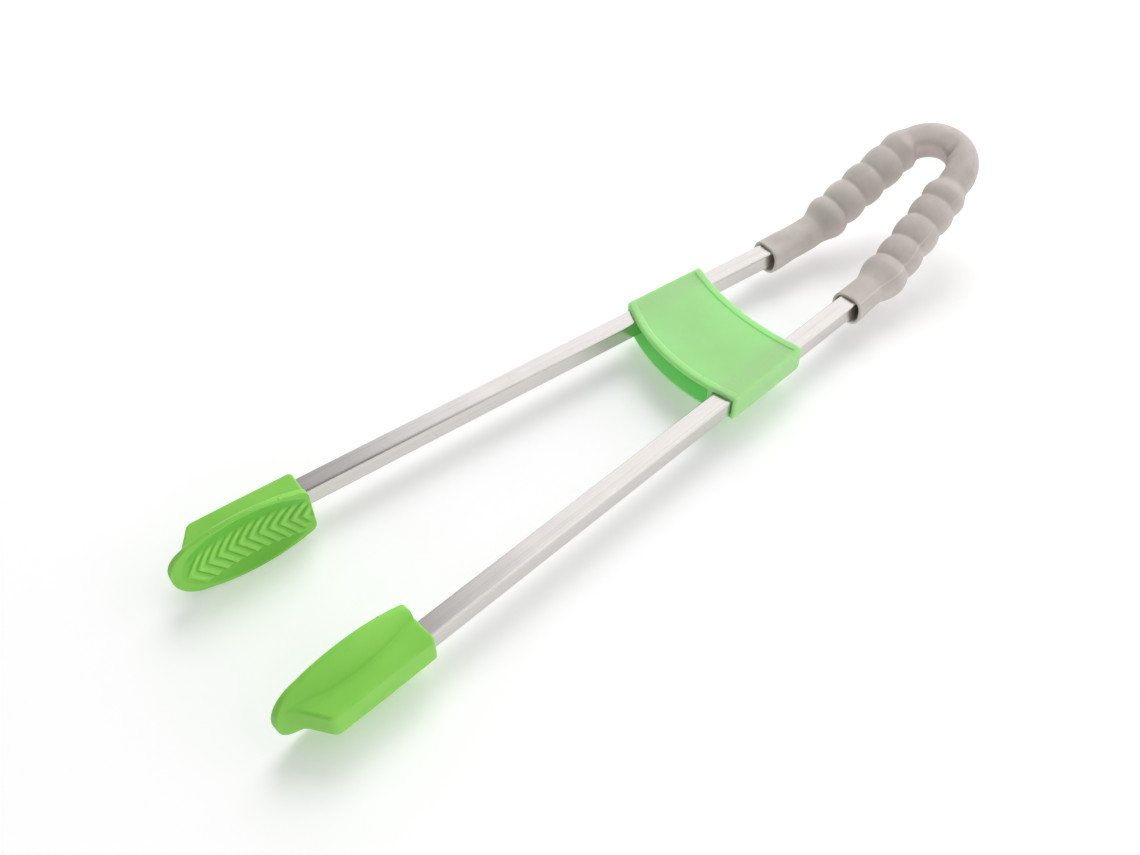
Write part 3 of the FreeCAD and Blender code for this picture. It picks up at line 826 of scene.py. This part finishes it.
def build_sleeve(material, ring_count=420, around=80):
    rings, spacing = sleeve_rings(ring_count)
    centres, ways, ups, inwards = sleeve_line(rings)
    theta = sleeve_angles(around)
    reach, paler_and_painted_light = sleeve_reach(rings, theta)
    outer = centres[:, None, :] + reach[..., None] * (
        np.cos(theta)[..., None] * ups[:, None, :] + np.sin(theta)[..., None] * inwards[:, None, :])
    start_lip = sleeve_lip(centres, ways, outer, spacing, 0, 1)
    end_lip = sleeve_lip(centres, ways, outer, spacing, len(centres) - 1, -1)
    layers = start_lip[::-1] + list(outer) + end_lip
    columns = np.arange(theta.shape[1])
    following = (columns + 1) % len(columns)
    quads = []
    for low in range(0, (len(layers) - 1) * len(columns), len(columns)):
        high = low + len(columns)
        quads.append(np.stack([low + columns, low + following, high + following, high + columns], 1))
    obj = add_object("grip_sleeve", np.concatenate(layers), np.concatenate(quads), material)
    # painted highlight on the first rings of each mouth's lip
    painted_rim_highlight = np.zeros((len(start_lip), len(columns)))
    painted_rim_highlight[:3] = RIM_PAINTED_HIGHLIGHT
    paler_and_painted_light = np.concatenate([painted_rim_highlight[::-1], paler_and_painted_light, painted_rim_highlight])
    set_attribute(obj, "paler_and_painted_light", paler_and_painted_light)
    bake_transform(obj)
    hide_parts("grip_sleeve_left", "grip_sleeve_right", "grip_sleeve_bend")


# ---------------------------------------------------------------- spring and carried-over nodes
def build_spring(material):
    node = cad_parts["spring_strip"]
    obj = bpy.data.objects.new("spring_blade", node.data.copy())
    bpy.context.scene.collection.objects.link(obj)
    obj.data.materials.clear()
    obj.data.materials.append(material)
    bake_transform(obj)
    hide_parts("spring_strip")


def paint(node, material):
    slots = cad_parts[node].data.materials
    slots.clear()
    slots.append(material)


# ---------------------------------------------------------------- studio
# A large soft window behind the handle, and a dimmer wall on the camera's side.
WINDOW_LIGHT = 1.28
WINDOW_EDGE = (0.19, 0.36)   # Y of the directions in which the wall gives way to the window
WALL_EDGE = (-0.2, 0.4)      # X of the directions between which the wall gets dimmer
WALL_LIGHT = (0.28, 0.19)    # against the window's brightness
FLOOR_HALF = 6.0
FLOOR_TONES = (0.87, 0.89)
FLOOR_GLOW = 0.19
CAMERA_PLACE = (0.2346, -0.2448, 0.35353)
CAMERA_RIGHT = (0.64634, 0.76304, -0.00360)
CAMERA_DOWN = (0.56181, -0.47907, -0.67443)
CAMERA_FORWARD = (-0.51635, 0.43389, -0.73833)


def area_light(name, place, target, size, power):
    """A soft rectangular light that doesn't show in the metal."""
    data = bpy.data.lights.new(name, "AREA")
    data.shape = "RECTANGLE"
    data.size, data.size_y = size
    data.energy = power
    obj = bpy.data.objects.new(name, data)
    obj.location = place
    obj.rotation_euler = (Vector(target) - Vector(place)).to_track_quat("-Z", "Y").to_euler()
    obj.visible_glossy = False
    bpy.context.scene.collection.objects.link(obj)


def map_range(nodes, links, value, between, to=(0.0, 1.0), kind="LINEAR"):
    node = nodes.new("ShaderNodeMapRange")
    node.interpolation_type = kind
    node.inputs["From Min"].default_value, node.inputs["From Max"].default_value = between
    node.inputs["To Min"].default_value, node.inputs["To Max"].default_value = to
    links.new(value, node.inputs["Value"])
    return node.outputs[0]


def build_world():
    world = bpy.data.worlds.new("studio")
    bpy.context.scene.world = world
    world.use_nodes = True
    nodes, links = world.node_tree.nodes, world.node_tree.links
    background = nodes["Background"]
    background.inputs["Strength"].default_value = WINDOW_LIGHT
    way = nodes.new("ShaderNodeSeparateXYZ")
    links.new(nodes.new("ShaderNodeTexCoord").outputs["Generated"], way.inputs[0])
    brightness = nodes.new("ShaderNodeMix")
    window = map_range(nodes, links, way.outputs["Y"], WINDOW_EDGE, kind="SMOOTHSTEP")
    links.new(window, brightness.inputs[0])
    links.new(map_range(nodes, links, way.outputs["X"], WALL_EDGE, WALL_LIGHT), brightness.inputs[2])
    brightness.inputs[3].default_value = 1.0
    links.new(brightness.outputs[0], background.inputs["Color"])


def build_floor():
    mesh = bpy.data.meshes.new("floor")
    corners = [(x * FLOOR_HALF, y * FLOOR_HALF, 0) for x, y in ((-1, -1), (1, -1), (1, 1), (-1, 1))]
    mesh.from_pydata(corners, [], [(0, 1, 2, 3)])
    floor = bpy.data.objects.new("floor", mesh)
    bpy.context.scene.collection.objects.link(floor)
    s = Shader("pale_floor")
    dark, light = [(tone, tone, tone, 1) for tone in FLOOR_TONES]
    tone = s.ramp(s.noise(3, 2.0), [(0.3, dark), (0.7, light)])
    material = s.finish(tone, 0.8)
    s.surface.inputs["Emission Color"].default_value = (1, 1, 1, 1)
    s.surface.inputs["Emission Strength"].default_value = FLOOR_GLOW
    mesh.materials.append(material)


def build_camera():
    data = bpy.data.cameras.new("camera")
    camera = bpy.data.objects.new("camera", data)
    turn = Matrix((Vector(CAMERA_RIGHT), -Vector(CAMERA_DOWN), -Vector(CAMERA_FORWARD))).transposed()
    camera.matrix_world = Matrix.Translation(CAMERA_PLACE) @ turn.to_4x4()
    data.sensor_width = 36.0
    data.lens = 33.06
    data.clip_start = 0.01
    data.clip_end = 30.0
    bpy.context.scene.collection.objects.link(camera)
    bpy.context.scene.camera = camera


def build_studio():
    bpy.context.scene.view_settings.view_transform = "Standard"
    build_world()
    build_floor()
    area_light("top_softbox", (-0.45, 0.45, 1.1), (0, 0, 0), (0.7, 0.7), 6.2)
    area_light("front_fill", (0.95, -0.75, 0.9), (0, 0, 0), (1.0, 0.8), 0.9)
    area_light("low_fill", (1.3, -0.55, 0.30), (0, 0, 0.02), (1.2, 0.5), 3.4)
    build_camera()


# ---------------------------------------------------------------- the scene
# The heads' paler colour is painted light on the ribs, and their deeper green is painted shade in the
# smooth dish.
head_green = moulded_green("silicone_green", srgb(142, 212, 86), srgb(132, 205, 77), 0.50,
                           paler_and_painted_light=srgb(154, 222, 97), painted_lighting=srgb(104, 192, 54), glow=0.25)
# The slider's brighter green is painted light inside its hollow.
slider_green = moulded_green("plastic_green", srgb(168, 230, 148), srgb(161, 225, 140), 0.38,
                             paler_and_painted_light=srgb(185, 235, 165), painted_lighting=srgb(180, 255, 178),
                             marks=SLIDER_MARKS, glow=0.9, depth=0.005)
sleeve_grey = soft_grey("sleeve_grey")
steel = spring_steel("spring_steel")
build_heads(head_green)
build_slider(slider_green)
build_sleeve(sleeve_grey)
build_spring(steel)
for side in ("left", "right"):
    paint("arm_" + side, brushed_aluminium("aluminium_" + side, side))
    paint("rivets_" + side, steel)
build_studio()
